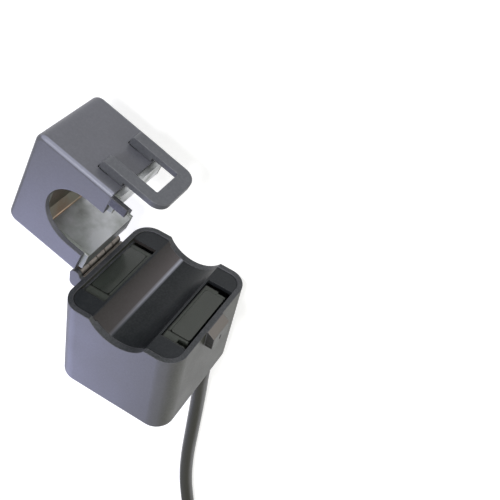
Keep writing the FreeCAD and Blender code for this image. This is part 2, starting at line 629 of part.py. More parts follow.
# the length that isn't drawn out, wound into a coil of four turns, two beside and two on each other
turn_out = (val("coil_mean") + size) / 2
heart = Vector(10, -256, 0)
lift, apart = val("coil_lift"), val("coil_gap")
tall, wide = 2 * size + apart, turn_out + size / 2
hole = turn_out - 1.5 * size - apart
ring = Part.makeCylinder(wide, tall, Vector(heart.x, heart.y, lift))
ring = ring.cut(Part.makeCylinder(hole, 3 * size, Vector(heart.x, heart.y, 0)))
rims = [e for e in ring.Edges if isinstance(e.Curve, Part.Circle)]
coil = doc.addObject("Part::Feature", "cable_coil")
coil.Shape = ring.makeFillet(size * 0.45, rims)
coil.Placement = Placement()

# the tie round the coil's section
tie_gap, tie_t, tie_w = val("tie_gap"), val("tie_thick"), val("tie_width")
low_r, high_r = hole - tie_gap, wide + tie_gap
band = Part.makeBox(high_r - low_r + 2 * tie_t, tie_w, tall + 2 * tie_gap + 2 * tie_t,
                    Vector(low_r - tie_t, -tie_w / 2, lift - tie_gap - tie_t))
band = band.cut(Part.makeBox(high_r - low_r, 2 * tie_w, tall + 2 * tie_gap,
                             Vector(low_r, -tie_w, lift - tie_gap)))
tie = doc.addObject("Part::Feature", "cable_tie")
tie.Shape = band
tie.Placement = Placement(heart, Rotation(Vector(0, 0, 1), -40))

# the cable's free end: jacket, two cores and their ferrules
leave = math.radians(270)
ahead = Vector(math.sin(leave), -math.cos(leave), 0)
aside = Vector(-ahead.y, ahead.x, 0)
off = heart + Vector(math.cos(leave), math.sin(leave), 0) * turn_out
high = lift + 1.5 * size + apart


def along(distance, sideways, level):
    p = off + ahead * distance + aside * sideways
    return (p.x, p.y, level)


tail, strip, spread = val("tail_length"), val("strip_length"), val("core_spread")
route("cable_tail", [along(0, 0, high), along(0.3 * tail, 0.2, high - 0.4), along(0.65 * tail, 0.2, 5.4),
                     along(tail, 0, rest)], size, True)
thick, strand = val("lead_size"), val("strand_size")
collar, metal = val("ferrule_size"), val("ferrule_length")
for name, s in (("lead_end_black", 1), ("lead_end_white", -1)):
    route(name, [along(tail + 0.2, s * 1.0, rest), along(tail + 0.32 * strip, s * 1.6, 2.4),
                 along(tail + 0.68 * strip, s * (spread - 0.4), 1.2),
                 along(tail + strip, s * spread, 1.2)], thick)
ends = []
for s in (1, -1):
    spot = Vector(*along(tail + strip + 0.05, s * spread, 1.2))
    shell = Part.makeCylinder(collar * 0.8, metal * 0.4, spot, ahead)
    tip = Part.makeCylinder(strand / 2, metal, spot, ahead)
    ends.append(shell.fuse(tip))
tips = doc.addObject("Part::Feature", "lead_ferrules")
tips.Shape = Part.makeCompound(ends)
tips.Placement = Placement()

# the two cores inside the housing, spliced to the winding's ends in two sleeves beside the tape
behind = (val("base_depth") - val("core_depth")) / 2 - val("bobbin_fit") - val("bobbin_wall")
behind -= val("winding_thick") + val("tape_thick")
sleeve_z = behind - val("sleeve_size") / 2 - 0.05
run = val("sleeve_length")
sleeves = []
for name, x, y in (("lead_black", x0 + 0.9, 1.0), ("lead_white", x0 - 0.9, 5.0)):
    y = -val("lower_window") - y
    route(name, [(x, inside, z0), (x, y + 0.4, z0 + 0.2), (x0 - 6.0, y + 0.2, z0 + 1.2),
                 (run / 2 + 0.05, y, sleeve_z)], thick)
    start = Vector(-run / 2, y, sleeve_z)
    sleeves.append(Part.makeCylinder(val("sleeve_size") / 2, run, start, Vector(1, 0, 0)))
joints = doc.addObject("Part::Feature", "splice_sleeves")
joints.Shape = Part.makeCompound(sleeves)
joints.Placement = Placement()

# the cap and all it carries turn about the hinge pin

turned = ["cap_shell", "upper_core", "core_spacer_rear", "core_spacer_front", "pressure_pad",
          "hinge_leaf_cap", "hinge_rivets_cap", "latch_bail"]
doc.recompute()
for name in turned:
    part = doc.getObject(name)
    if part.TypeId == "Part::Box":
        holder = joined(name + "_held", [part], "Compound")
        part.Label = name + "_block"
        holder.Label = name
        part = holder
    drive(part, Placement__Rotation__Angle="open_angle",
          Placement__Base__x="-hinge_reach * (1 - cos(open_angle)) - hinge_drop * sin(open_angle)",
          Placement__Base__y="-hinge_drop * (1 - cos(open_angle)) + hinge_reach * sin(open_angle)")
doc.recompute()

nodes = ["base_shell", "base_deck", "lower_core", "pole_frame_hinge", "pole_frame_latch", "bobbin_rear_half",
         "bobbin_front_half", "secondary_winding", "winding_tape", "splice_sleeves", "lead_black",
         "lead_white", "hinge_leaf_base", "hinge_rivets_base", "hinge_pin", "cable_bush", "output_cable",
         "cable_coil", "cable_tie", "cable_tail", "lead_end_black", "lead_end_white", "lead_ferrules",
         "cap_shell", "upper_core", "core_spacer_rear", "core_spacer_front", "pressure_pad",
         "hinge_leaf_cap", "hinge_rivets_cap", "latch_bail"]
for obj in doc.Objects:
    if "Invalid" in obj.State or "Error" in obj.State:
        raise RuntimeError("%s is %s" % (obj.Name, obj.State))
os.makedirs("parts", exist_ok=True)
for name in nodes:
    part = doc.getObjectsByLabel(name)[0]
    shape = part.Shape
    if shape.isNull() or not shape.isValid() or not shape.Solids:
        raise RuntimeError("%s has no valid shape" % name)
    shape.exportStep("parts/%s.step" % name)
    box = shape.BoundBox
    print("%-20s %d solid(s) %9.1f mm3  x %6.1f %6.1f  y %6.1f %6.1f  z %5.1f %5.1f" % (
        name, len(shape.Solids), shape.Volume, box.XMin, box.XMax, box.YMin, box.YMax, box.ZMin, box.ZMax))
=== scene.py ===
import math

import bmesh
import bpy
from mathutils import Euler, Matrix, Vector


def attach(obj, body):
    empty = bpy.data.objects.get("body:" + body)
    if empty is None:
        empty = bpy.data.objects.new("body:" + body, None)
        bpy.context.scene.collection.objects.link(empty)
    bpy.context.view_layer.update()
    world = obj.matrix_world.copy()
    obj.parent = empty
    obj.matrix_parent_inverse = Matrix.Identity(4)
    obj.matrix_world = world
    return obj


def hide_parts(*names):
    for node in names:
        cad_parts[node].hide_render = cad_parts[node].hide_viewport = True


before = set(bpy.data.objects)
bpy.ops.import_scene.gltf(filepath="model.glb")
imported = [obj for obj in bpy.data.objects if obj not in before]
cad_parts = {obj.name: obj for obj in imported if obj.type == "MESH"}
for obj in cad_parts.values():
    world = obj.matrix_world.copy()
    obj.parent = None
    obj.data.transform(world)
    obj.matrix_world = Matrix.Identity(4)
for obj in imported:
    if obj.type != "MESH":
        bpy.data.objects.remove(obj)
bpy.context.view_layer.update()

millimetre = 0.001
scene = bpy.context.scene
scene.view_settings.view_transform = "Standard"


def placed(*numbers):
    return Vector(numbers) * millimetre


def linear(red, green, blue):
    # a colour read from the object, 0 to 255, as the shader wants it
    def straight(level):
        level /= 255
        return level / 12.92 if level <= 0.04045 else ((level + 0.055) / 1.055) ** 2.4
    return straight(red), straight(green), straight(blue), 1.0


# camera at the picture's angle
cameraSizes = {"place": (74.528, 182.466, 174.911), "turn": (-38.76735, 28.06056, 13.03334),
               "lens": 53.517, "nearest": 5}

cameraData = bpy.data.cameras.new("viewCamera")
cameraData.lens = cameraSizes["lens"]
cameraData.clip_start = cameraSizes["nearest"] * millimetre
camera = bpy.data.objects.new("viewCamera", cameraData)
camera.location = placed(*cameraSizes["place"])
camera.rotation_euler = Euler([math.radians(angle) for angle in cameraSizes["turn"]], "XYZ")
scene.collection.objects.link(camera)
scene.camera = camera
print("camera ready")


# helpers for node trees, where a value is a number or another node's output
def link(tree, start, end):
    tree.links.new(start, end)


def feed(tree, value, socket):
    if hasattr(value, "links"):
        link(tree, value, socket)
    else:
        socket.default_value = value


def maths(tree, operation, *values):
    node = tree.nodes.new("ShaderNodeMath")
    node.operation = operation
    for value, socket in zip(values, node.inputs):
        feed(tree, value, socket)
    return node.outputs[0]


def flipped(tree, mask):
    return maths(tree, "SUBTRACT", 1.0, mask)


def awayFrom(tree, value, place):
    return maths(tree, "ABSOLUTE", maths(tree, "SUBTRACT", value, place))


def spread(tree, value, low, high, toLow=0.0, toHigh=1.0):
    # lays the stretch from low to high onto another one, and cuts off what lies past it
    node = tree.nodes.new("ShaderNodeMapRange")
    for label, number in (("From Min", low), ("From Max", high), ("To Min", toLow), ("To Max", toHigh)):
        node.inputs[label].default_value = number
    link(tree, value, node.inputs["Value"])
    return node.outputs[0]


def step(tree, value, edge, soft=0.1):
    return spread(tree, value, edge - soft, edge + soft)


def layered(tree, colour, *layers):
    # lays colours over the first one, each as far as its mask goes
    for mask, cover in layers:
        node = tree.nodes.new("ShaderNodeMix")
        node.data_type = "RGBA"
        for value, label in ((mask, "Factor"), (colour, "A"), (cover, "B")):
            feed(tree, value, node.inputs[label])
        colour = node.outputs["Result"]
    return colour


def noise(tree, spot, scale, detail=2.0, rough=0.5):
    node = tree.nodes.new("ShaderNodeTexNoise")
    node.inputs["Detail"].default_value = detail
    node.inputs["Roughness"].default_value = rough
    feed(tree, scale, node.inputs["Scale"])
    link(tree, spot, node.inputs["Vector"])
    return node.outputs["Fac"]


def coordinates(tree, kind):
    return tree.nodes.new("ShaderNodeTexCoord").outputs[kind]


def split(tree, vector):
    axes = tree.nodes.new("ShaderNodeSeparateXYZ")
    link(tree, vector, axes.inputs[0])
    return axes.outputs


# white table, pale room and soft lamps: places in millimetres, widths in metres
stageSizes = {"table": 6.0, "glow": 0.76, "grey": 0.48, "world": 0.5, "fade": 0.6,
              "hingeTint": (0.95, 0.96, 1.0), "latchTint": (1.0, 0.98, 0.84),
              "overhead": {"place": (20, 420, 820), "across": 0.24, "power": 4.4, "tint": (0.98, 0.98, 1.0)},
              "near": {"place": (-110, -170, 125), "across": 0.16, "power": 0.21, "tint": (0.58, 0.6, 1.0)},
              "behind": {"place": (330, 780, 260), "across": 0.5, "power": 1.6, "tint": (0.96, 1.0, 0.97)}}


def setTable():
    bpy.ops.object.select_all(action="DESELECT")
    bpy.ops.mesh.primitive_plane_add(size=stageSizes["table"], location=(0, 0, 0))
    table = bpy.context.object
    table.name = "whiteTable"
    paint = bpy.data.materials.new("tableWhite")
    paint.use_nodes = True
    tree = paint.node_tree
    tree.nodes.clear()
    out = tree.nodes.new("ShaderNodeOutputMaterial")
    add = tree.nodes.new("ShaderNodeAddShader")
    matt = tree.nodes.new("ShaderNodeBsdfDiffuse")
    glow = tree.nodes.new("ShaderNodeEmission")
    rays = tree.nodes.new("ShaderNodeLightPath").outputs
    matt.inputs["Color"].default_value = (stageSizes["grey"],) * 3 + (1,)
    # the glow shows to the camera, in reflections and through glass, so the table keeps its shadow
    seen = maths(tree, "MAXIMUM", rays["Is Camera Ray"], rays["Is Glossy Ray"])
    seen = maths(tree, "MAXIMUM", seen, rays["Is Transmission Ray"])
    link(tree, maths(tree, "MULTIPLY", seen, stageSizes["glow"]), glow.inputs["Strength"])
    link(tree, matt.outputs[0], add.inputs[0])
    link(tree, glow.outputs[0], add.inputs[1])
    link(tree, add.outputs[0], out.inputs["Surface"])
    table.data.materials.append(paint)


def setWorld():
    world = bpy.data.worlds.new("paleRoom")
    scene.world = world
    world.use_nodes = True
    tree = world.node_tree
    back = tree.nodes["Background"]
    byCamera = tree.nodes.new("ShaderNodeLightPath").outputs["Is Camera Ray"]
    link(tree, spread(tree, byCamera, 0.0, 1.0, stageSizes["world"], 1.0), back.inputs["Strength"])
    # a touch warmer from the latch's side than from the hinge's, and plain white for the camera
    sideways = split(tree, coordinates(tree, "Generated"))["X"]
    warmer = spread(tree, sideways, -stageSizes["fade"], stageSizes["fade"])
    room = layered(tree, stageSizes["hingeTint"] + (1,), (warmer, stageSizes["latchTint"] + (1,)))
    link(tree, layered(tree, room, (byCamera, (1, 1, 1, 1))), back.inputs["Color"])


def hangLamp(name, sizes):
    data = bpy.data.lights.new(name, "AREA")
    data.shape = "DISK"
    data.size = sizes["across"]
    data.energy = sizes["power"]
    data.color = sizes["tint"]
    lamp = bpy.data.objects.new(name, data)
    lamp.location = placed(*sizes["place"])
    lamp.rotation_euler = (-lamp.location).to_track_quat("-Z", "Y").to_euler()
    scene.collection.objects.link(lamp)


setTable()
setWorld()
for lampName in ("overhead", "near", "behind"):
    hangLamp(lampName + "Panel", stageSizes[lampName])
print("table and lamps ready")


# shared shader groups
def newGroup(name, inputs, outputs):
    tree = bpy.data.node_groups.new(name, "ShaderNodeTree")
    kinds = {"colour": "NodeSocketColor", "value": "NodeSocketFloat", "normal": "NodeSocketVector"}
    for way, sockets in (("INPUT", inputs), ("OUTPUT", outputs)):
        for label, kind in sockets.items():
            tree.interface.new_socket(name=label, in_out=way, socket_type=kinds[kind])
    return tree, tree.nodes.new("NodeGroupInput").outputs, tree.nodes.new("NodeGroupOutput").inputs


surfaceOutputs = {"Colour": "colour", "Roughness": "value", "Normal": "normal"}

# scales of the noises, the ranges of them that show, and lengths in millimetres
grainSizes = {"broadScale": 90.0, "broadRange": (0.3, 0.7), "broadShare": 0.5,
              "speckScale": 1300.0, "speckRange": (0.35, 0.75), "speckShare": 0.5,
              "rounding": 0.45, "samples": 6, "edgeWearAndSheenRange": (0.995, 0.8), "pit": 0.06, "gloss": 0.05}


def makeMouldedGrain():
    # satin moulded surface: fine pits, broad unevenness of tone and gloss, lighter edges that are slight wear
    # and a painted edge highlight
    tree, given, out = newGroup("mouldedGrain", {"Colour": "colour", "Lighter": "colour", "Mottle": "value",
                                                 "Grain Scale": "value", "Grain Depth": "value",
                                                 "Roughness": "value", "Edge": "value"}, surfaceOutputs)
    sizes = grainSizes
    where = coordinates(tree, "Object")
    broad = noise(tree, where, sizes["broadScale"], detail=3.0)
    fine = noise(tree, where, given["Grain Scale"], detail=2.0, rough=0.6)
    specks = noise(tree, where, sizes["speckScale"], detail=1.0)
    cloudy = spread(tree, broad, *sizes["broadRange"])
    dusty = spread(tree, specks, *sizes["speckRange"], toHigh=sizes["speckShare"])
    uneven = maths(tree, "MULTIPLY_ADD", cloudy, sizes["broadShare"], dusty)
    uneven = maths(tree, "MULTIPLY", uneven, given["Mottle"])
    # an edge is where the softened normal leaves the face's own
    soft = tree.nodes.new("ShaderNodeBevel")
    soft.samples = sizes["samples"]
    soft.inputs["Radius"].default_value = sizes["rounding"] * millimetre
    alike = tree.nodes.new("ShaderNodeVectorMath")
    alike.operation = "DOT_PRODUCT"
    link(tree, soft.outputs[0], alike.inputs[0])
    link(tree, tree.nodes.new("ShaderNodeNewGeometry").outputs["Normal"], alike.inputs[1])
    # painted edge highlight with slight wear: the edges take the lighter colour
    paintedSheen = spread(tree, alike.outputs["Value"], *sizes["edgeWearAndSheenRange"])
    paintedSheen = maths(tree, "MULTIPLY", paintedSheen, given["Edge"])
    lighter = maths(tree, "MAXIMUM", uneven, paintedSheen)
    link(tree, layered(tree, given["Colour"], (lighter, given["Lighter"])), out["Colour"])
    gloss = spread(tree, broad, *sizes["broadRange"], -sizes["gloss"], sizes["gloss"])
    link(tree, maths(tree, "ADD", gloss, given["Roughness"]), out["Roughness"])
    pits = tree.nodes.new("ShaderNodeBump")
    pits.inputs["Distance"].default_value = sizes["pit"] * millimetre
    link(tree, given["Grain Depth"], pits.inputs["Strength"])
    link(tree, fine, pits.inputs["Height"])
    link(tree, soft.outputs[0], pits.inputs["Normal"])
    link(tree, pits.outputs[0], out["Normal"])
    return tree


sheetSizes = {"hazeScale": 110.0, "hazeRange": (0.38, 0.68), "seam": 0.22, "gloss": 0.14, "ridge": 0.02,
              "strength": 0.35}


def makeSheetStack():
    # edges of stacked core sheets, a haze of scale over them
    tree, given, out = newGroup("sheetStack", {"Colour": "colour", "Dark": "colour", "Sheet": "value",
                                               "Haze": "value", "Roughness": "value", "Line": "value"},
                                surfaceOutputs)
    sizes = sheetSizes
    where = coordinates(tree, "Object")
    count = maths(tree, "DIVIDE", split(tree, where)["Z"], given["Sheet"])
    seam = spread(tree, maths(tree, "FRACT", count), 0.0, sizes["seam"])
    haze = spread(tree, noise(tree, where, sizes["hazeScale"], detail=4.0, rough=0.55), *sizes["hazeRange"])
    dull = maths(tree, "MULTIPLY", haze, given["Haze"])
    faint = maths(tree, "MULTIPLY", flipped(tree, seam), given["Line"])
    link(tree, layered(tree, given["Colour"], (dull, given["Dark"]), (faint, given["Dark"])), out["Colour"])
    link(tree, maths(tree, "MULTIPLY_ADD", haze, sizes["gloss"], given["Roughness"]), out["Roughness"])
    ridge = tree.nodes.new("ShaderNodeBump")
    ridge.inputs["Distance"].default_value = sizes["ridge"] * millimetre
    ridge.inputs["Strength"].default_value = sizes["strength"]
    link(tree, seam, ridge.inputs["Height"])
    link(tree, ridge.outputs[0], out["Normal"])
    return tree


# tones by place on the part, in millimetres: the open cap is measured along its own depth and width
toLatch, upwards, outwards = (1, 0, 0), (0, 1, 0), (0, 0, 1)
hingeAxis = (-25.3, -6.5)


def newTone(name, *labels):
    return newGroup(name, {label: "colour" for label in ("Plain", *labels)}, {"Colour": "colour"})


def measured(tree, direction, start=0.0):
    # distance along a direction, in millimetres
    dot = tree.nodes.new("ShaderNodeVectorMath")
    dot.operation = "DOT_PRODUCT"
    dot.inputs[1].default_value = [part / millimetre for part in direction]
    link(tree, coordinates(tree, "Object"), dot.inputs[0])
    return maths(tree, "SUBTRACT", dot.outputs["Value"], start)


capSizes = {"open": 73.3, "rim": -0.4, "front": 38.4, "wall": 46.5, "round": 1.3, "skin": 0.2, "lit": 0.3,
            "chamfer": -15.75, "inner": (12.5, 38.1), "line": 0.25, "lineSoft": 0.15}


def capAxes(tree):
    turn = math.radians(capSizes["open"])
    depth, width = (math.sin(turn), -math.cos(turn), 0), (math.cos(turn), math.sin(turn), 0)
    x, y = hingeAxis
    return [measured(tree, way, way[0] * x + way[1] * y) for way in (depth, width)]


def makeCapTone():
    # painted shade on the tabs under the cap's rim, darker than its faces, and a painted highlight along its
    # front edge at the latch
    tree, given, out = newTone("capTone", "Tab", "Edge")
    sizes = capSizes
    depth, width = capAxes(tree)
    tabShade = step(tree, depth, sizes["rim"])
    near = [spread(tree, way, sizes[end] - sizes["round"], sizes[end] - sizes["skin"])
            for way, end in ((measured(tree, outwards), "front"), (width, "wall"))]
    # painted highlight where the front face and the latch wall round into each other
    edge = spread(tree, maths(tree, "MULTIPLY", *near), 0.0, sizes["lit"])
    link(tree, layered(tree, given["Plain"], (edge, given["Edge"]), (tabShade, given["Tab"])), out["Colour"])
    return tree


def makeCoreTone():
    # a painted brown reflection in the core's bend, and a bright line along where the leg starts
    tree, given, out = newTone("coreTone", "BendReflection", "Line")
    sizes = capSizes
    depth, width = capAxes(tree)
    low, high = sizes["inner"]
    inside = maths(tree, "MULTIPLY", step(tree, width, low), flipped(tree, step(tree, width, high)))
    bendReflection = maths(tree, "MULTIPLY", inside, flipped(tree, step(tree, depth, sizes["chamfer"])))
    off = awayFrom(tree, depth, sizes["chamfer"])
    line = maths(tree, "MULTIPLY", flipped(tree, step(tree, off, sizes["line"], sizes["lineSoft"])), inside)
    link(tree, layered(tree, given["Plain"], (bendReflection, given["BendReflection"]), (line, given["Line"])), out["Colour"])
    return tree


troughSizes = {"line": -3.5, "lineWide": 0.9, "flankSoft": 0.5, "bottom": -10.0, "below": -7.35,
               "far": 6.0, "near": 44.0, "faded": 0.2}


def makeTroughTone():
    # painted reflection in the trough: its floor darker, one flank brown and paler towards a painted
    # highlight line; the paler part and the line fade towards the front
    tree, given, out = newTone("troughTone", "TroughDarkReflection", "BrownReflection", "PaleReflection", "Line")
    sizes = troughSizes
    side, height, depth = (measured(tree, way) for way in (toLatch, upwards, outwards))
    trough = flipped(tree, step(tree, height, sizes["below"]))
    flank = flipped(tree, step(tree, side, sizes["line"], sizes["flankSoft"]))
    fading = spread(tree, depth, sizes["far"], sizes["near"], 1.0, sizes["faded"])
    # painted highlight line along the edge of the flank
    line = spread(tree, awayFrom(tree, side, sizes["line"]), sizes["lineWide"], 0.0)
    line = maths(tree, "MULTIPLY", line, fading)
    paleReflectionShare = maths(tree, "MULTIPLY", spread(tree, side, sizes["bottom"], sizes["line"]), fading)
    paintedSheen = layered(tree, given["BrownReflection"], (paleReflectionShare, given["PaleReflection"]))
    toned = layered(tree, given["TroughDarkReflection"], (flank, paintedSheen), (line, given["Line"]))
    link(tree, layered(tree, given["Plain"], (trough, toned)), out["Colour"])
    return tree


baseSizes = {"proud": 22.75, "sideRange": (0.5, 1.0), "upRange": (0.5, 0.85), "frontRange": (0.4, 0.7)}


def makeBaseTone():
    # painted light and shade by which way a face looks: the latch's side darker and greener, the up-facing
    # rim darker, the catch's up-facing slope lighter and its front darker
    tree, given, out = newTone("baseTone", "Side", "RimShade", "Slope", "CatchShade")
    sizes = baseSizes
    looks = split(tree, coordinates(tree, "Normal"))
    proud = step(tree, measured(tree, toLatch), sizes["proud"])
    side = spread(tree, looks["X"], *sizes["sideRange"])
    up = spread(tree, looks["Y"], *sizes["upRange"])
    front = spread(tree, looks["Z"], *sizes["frontRange"])
    rim = maths(tree, "SUBTRACT", up, proud)
    slopeLight = maths(tree, "MULTIPLY", up, proud)
    catchShade = maths(tree, "MULTIPLY", proud, front)
    link(tree, layered(tree, given["Plain"], (side, given["Side"]), (rim, given["RimShade"]),
                       (slopeLight, given["Slope"]), (catchShade, given["CatchShade"])), out["Colour"])
    return tree


frameSizes = {"across": (11.1,), "along": (11.0, 35.6, 39.1), "joint": 0.38, "jointSoft": 0.08}


def makeFrameTone():
    # dark joints round the pole frames: to the deck outside them, to the pole inside
    tree, given, out = newTone("frameTone", "Joint")
    sizes = frameSizes
    side = maths(tree, "ABSOLUTE", measured(tree, toLatch))
    dark = 0.0
    for way, places in ((side, sizes["across"]), (measured(tree, outwards), sizes["along"])):
        for place in places:
            off = awayFrom(tree, way, place)
            joint = flipped(tree, step(tree, off, sizes["joint"], sizes["jointSoft"]))
            dark = maths(tree, "MAXIMUM", dark, joint)
    link(tree, layered(tree, given["Plain"], (dark, given["Joint"])), out["Colour"])
    return tree


knuckleSizes = {"start": 13.5, "pitch": 4.3, "gap": 0.3, "gapSoft": 0.0645, "reach": 2.3, "reachSoft": 0.05}


def makeKnuckleTone():
    # dark joints between the hinge's knuckles
    tree, given, out = newTone("knuckleTone", "Joint")
    sizes = knuckleSizes
    pitch = sizes["pitch"]
    side, height, depth = (measured(tree, way) for way in (toLatch, upwards, outwards))
    count = maths(tree, "DIVIDE", maths(tree, "SUBTRACT", depth, sizes["start"]), pitch)
    off = awayFrom(tree, maths(tree, "FRACT", maths(tree, "ADD", count, 0.5)), 0.5)
    joint = flipped(tree, step(tree, off, sizes["gap"] / pitch, sizes["gapSoft"] / pitch))
    near = [maths(tree, "POWER", maths(tree, "SUBTRACT", way, middle), 2.0)
            for way, middle in zip((side, height), hingeAxis)]
    away = maths(tree, "SQRT", maths(tree, "ADD", *near))
    barrel = flipped(tree, step(tree, away, sizes["reach"], sizes["reachSoft"]))
    dark = maths(tree, "MULTIPLY", joint, barrel)
    link(tree, layered(tree, given["Plain"], (dark, given["Joint"])), out["Colour"])
    return tree


mouldedGrain = makeMouldedGrain()
sheetStack = makeSheetStack()
tones = {"cap": makeCapTone(), "core": makeCoreTone(), "trough": makeTroughTone(),
         "knuckle": makeKnuckleTone(), "base": makeBaseTone(), "frame": makeFrameTone()}
finishes = {}


def newFinish(name, group, values, metal=0.0, specular=0.5, coat=0.0, tone=None, tints=None):
    paint = bpy.data.materials.new(name)
    paint.use_nodes = True
    tree = paint.node_tree
    shader = tree.nodes["Principled BSDF"]
    shader.inputs["Metallic"].default_value = metal
    shader.inputs["Specular IOR Level"].default_value = specular
    shader.inputs["Coat Weight"].default_value = coat
    box = tree.nodes.new("ShaderNodeGroup")
    box.node_tree = group
    for label, value in values.items():
        box.inputs[label].default_value = value
    if tone:
        toned = tree.nodes.new("ShaderNodeGroup")
        toned.node_tree = tones[tone]
        toned.inputs["Plain"].default_value = values["Colour"]
        for label, colour in tints.items():
            toned.inputs[label].default_value = linear(*colour)
        link(tree, toned.outputs["Colour"], box.inputs["Colour"])
    link(tree, box.outputs["Colour"], shader.inputs["Base Color"])
    link(tree, box.outputs["Roughness"], shader.inputs["Roughness"])
    link(tree, box.outputs["Normal"], shader.inputs["Normal"])
    finishes[name] = paint


def moulded(name, colour, lighter, rough=0.45, mottle=0.3, grain=3200.0, depth=0.12, edge=0.35, **more):
    values = {"Colour": linear(*colour), "Lighter": linear(*lighter), "Mottle": mottle, "Grain Scale": grain,
              "Grain Depth": depth, "Roughness": rough, "Edge": edge}
    newFinish(name, mouldedGrain, values, **more)


def stacked(name, colour, dark, rough=0.3, haze=0.5, sheet=0.35, line=0.2, **more):
    values = {"Colour": linear(*colour), "Dark": linear(*dark), "Sheet": sheet * millimetre, "Haze": haze,
              "Roughness": rough, "Line": line}
    newFinish(name, sheetStack, values, **more)


# the base's tints are painted light and shade by which way a face looks
moulded("basePlastic", (88, 89, 96), (124, 124, 132), rough=0.46, mottle=0.25, edge=0.5, specular=0.4,
        tone="base", tints={"Side": (54, 56, 44), "RimShade": (37, 40, 43), "Slope": (116, 109, 103),
                            "CatchShade": (34, 34, 32)})
# the tab tint is painted shade and the edge tint a painted highlight
moulded("capPlastic", (88, 89, 97), (122, 122, 133), rough=0.38, mottle=0.25, edge=0.45,
        tone="cap", tints={"Tab": (18, 20, 24), "Edge": (134, 136, 154)})
# the trough tints are a painted reflection and a painted highlight line
moulded("deckPlastic", (29, 32, 36), (84, 86, 88), rough=0.34, mottle=0.2, edge=0.5, specular=0.2,
        tone="trough", tints={"TroughDarkReflection": (16, 20, 24), "BrownReflection": (52, 48, 47), "PaleReflection": (96, 90, 92),
                              "Line": (172, 174, 188)})
moulded("bailPlastic", (76, 78, 85), (142, 143, 148), rough=0.42, mottle=0.2, edge=0.5)
moulded("framePlastic", (54, 58, 54), (96, 99, 92), rough=0.35, mottle=0.2, edge=0.12, specular=0.3,
        tone="frame", tints={"Joint": (6, 7, 8)})
# the bend tint is a painted brown reflection
stacked("upperSteel", (190, 192, 196), (112, 117, 108), rough=0.32, haze=0.7, metal=0.7,
        tone="core", tints={"BendReflection": (96, 80, 66), "Line": (206, 176, 150)})
stacked("lowerSteel", (24, 32, 22), (17, 23, 16), rough=0.1, haze=0.4, line=0.1, specular=0.62)
# the spacer's edges carry a strong painted highlight
moulded("spacerPlastic", (122, 126, 123), (214, 216, 216), rough=0.4, mottle=0.2, edge=0.8)
moulded("padFoam", (38, 38, 40), (60, 60, 62), rough=0.95, mottle=0.5, grain=1500, depth=0.8)
moulded("bobbinNylon", (212, 204, 182), (228, 222, 206), rough=0.4, mottle=0.2)
stacked("windingCopper", (214, 138, 92), (120, 60, 34), haze=0.2, sheet=0.18, line=0.7, metal=1.0)
moulded("windingTape", (196, 142, 44), (222, 176, 84), rough=0.25, mottle=0.4, depth=0.05, coat=0.3)
moulded("sleevePlastic", (30, 30, 31), (52, 52, 52), rough=0.4)
moulded("coreBlack", (28, 28, 29), (50, 50, 52), rough=0.35)
moulded("coreWhite", (222, 222, 218), (236, 236, 234), rough=0.35)
moulded("hingeMetal", (84, 80, 77), (186, 178, 170), rough=0.34, mottle=0.4, grain=2400, depth=0.06, edge=0.5,
        metal=1.0, tone="knuckle", tints={"Joint": (14, 12, 12)})
moulded("bushRubber", (30, 30, 30), (54, 54, 54), rough=0.6)
moulded("cableJacket", (38, 39, 35), (60, 61, 56), rough=0.36, mottle=0.35, grain=1800, depth=0.1, edge=0.0)
moulded("tieNylon", (28, 28, 29), (56, 56, 58), rough=0.42)
moulded("ferruleTin", (206, 206, 200), (226, 226, 222), rough=0.25, metal=1.0)

worn = {
    "basePlastic": ("base_shell",), "capPlastic": ("cap_shell",), "deckPlastic": ("base_deck",),
    "bailPlastic": ("latch_bail",), "framePlastic": ("pole_frame_hinge", "pole_frame_latch"),
    "lowerSteel": ("lower_core",), "upperSteel": ("upper_core",), "padFoam": ("pressure_pad",),
    "spacerPlastic": ("core_spacer_rear", "core_spacer_front"),
    "bobbinNylon": ("bobbin_rear_half", "bobbin_front_half"), "windingCopper": ("secondary_winding",),
    "windingTape": ("winding_tape",), "sleevePlastic": ("splice_sleeves",), "coreBlack": ("lead_black",),
    "coreWhite": ("lead_white",), "bushRubber": ("cable_bush",), "ferruleTin": ("lead_ferrules",),
    "hingeMetal": ("hinge_leaf_base", "hinge_leaf_cap", "hinge_rivets_base", "hinge_rivets_cap", "hinge_pin"),
}
for finishName, nodeNames in worn.items():
    for nodeName in nodeNames:
        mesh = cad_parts[nodeName].data
        mesh.materials.clear()
        mesh.materials.append(finishes[finishName])
print("finishes ready")


# output cable with its coil, on one line: places in millimetres, turning in degrees, length in metres
cableSizes = {"across": 6.1, "length": 1.0,
              "run": [(15.9, -38.9, 6.2), (15.9, -57, 6.2), (16.4, -80, 3.2), (17.7, -108, 3.1),
                      (18.6, -129, 3.1), (21.0, -150, 3.1), (26.3, -171, 3.2), (33.6, -200, 3.3),
                      (38.8, -221, 3.6), (43.4, -239.5, 3.9)],
              "heart": (10, -256), "outer": 37.0, "inner": 30.8, "low": 3.95, "high": 10.05,
              "enter": 14, "turns": 3.29, "changes": (300, 600, 900), "change": 60, "spare": 12, "step": 24}
tailSizes = {"angle": 270, "reach": 36.55, "lead": 1.5,
             "run": [(0, 0, 10.05), (9.6, 0.2, 9.65), (20.8, 0.2, 5.4), (32, 0, 3.1)],
             "cores": [(32.2, 1.0, 3.1), (38.08, 1.6, 2.4), (44.92, 2.8, 1.2), (51.0, 3.2, 1.2)]}


def easing(value):
    value = min(1.0, max(0.0, value))
    return value * value * (3 - 2 * value)


